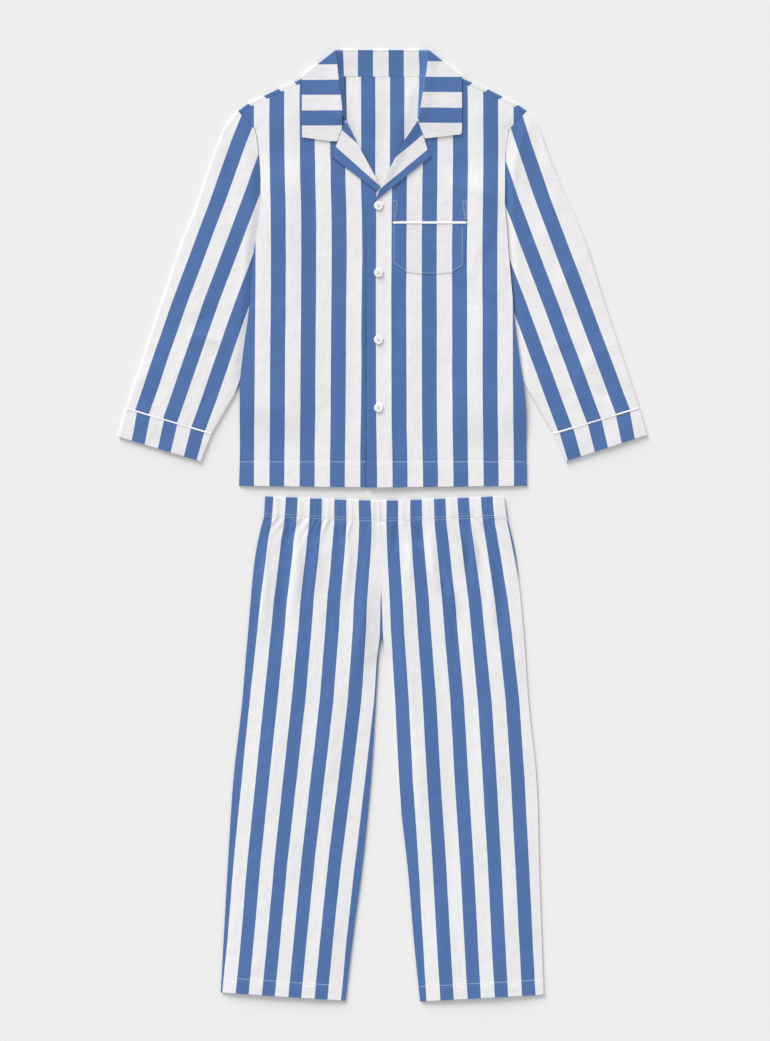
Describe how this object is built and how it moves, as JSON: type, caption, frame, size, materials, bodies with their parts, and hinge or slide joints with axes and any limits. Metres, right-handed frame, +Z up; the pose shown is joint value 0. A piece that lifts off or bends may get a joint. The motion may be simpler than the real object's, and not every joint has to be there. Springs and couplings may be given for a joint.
{
  "type": "pyjama set",
  "caption": "Striped cotton pyjama set laid flat: long-sleeved buttoned shirt with notched collar, chest pocket and piped cuffs, above elastic-waist trousers.",
  "frame": {"origin": "on the surface the set lies on, under the middle of the whole set's outline", "axes": "+Z up out of the surface, +Y from the trouser hems towards the collar, +X towards the wearer's left"},
  "size_m": [0.924, 1.664, 0.007],
  "materials": {
    "striped_cotton": "plain-weave cotton, wide even blue and white stripes",
    "white_piping": "white cotton piping",
    "button_plastic": "moulded white plastic, glossy"
  },
  "bodies": {
    "root": {"shirt_back": "striped_cotton", "shirt_front_right": "striped_cotton", "shirt_front_left": "striped_cotton", "lapel_right": "striped_cotton", "lapel_left": "striped_cotton", "collar": "striped_cotton", "pocket": "striped_cotton", "pocket_band": "striped_cotton", "pocket_piping": "white_piping", "button_1": "button_plastic", "button_2": "button_plastic", "button_3": "button_plastic", "button_4": "button_plastic", "sleeve_right": "striped_cotton", "sleeve_left": "striped_cotton", "cuff_right": "striped_cotton", "cuff_left": "striped_cotton", "cuff_piping_right": "white_piping", "cuff_piping_left": "white_piping", "waistband": "striped_cotton", "leg_front_right": "striped_cotton", "leg_back_right": "striped_cotton", "leg_front_left": "striped_cotton", "leg_back_left": "striped_cotton"}
  },
  "joints": []
}
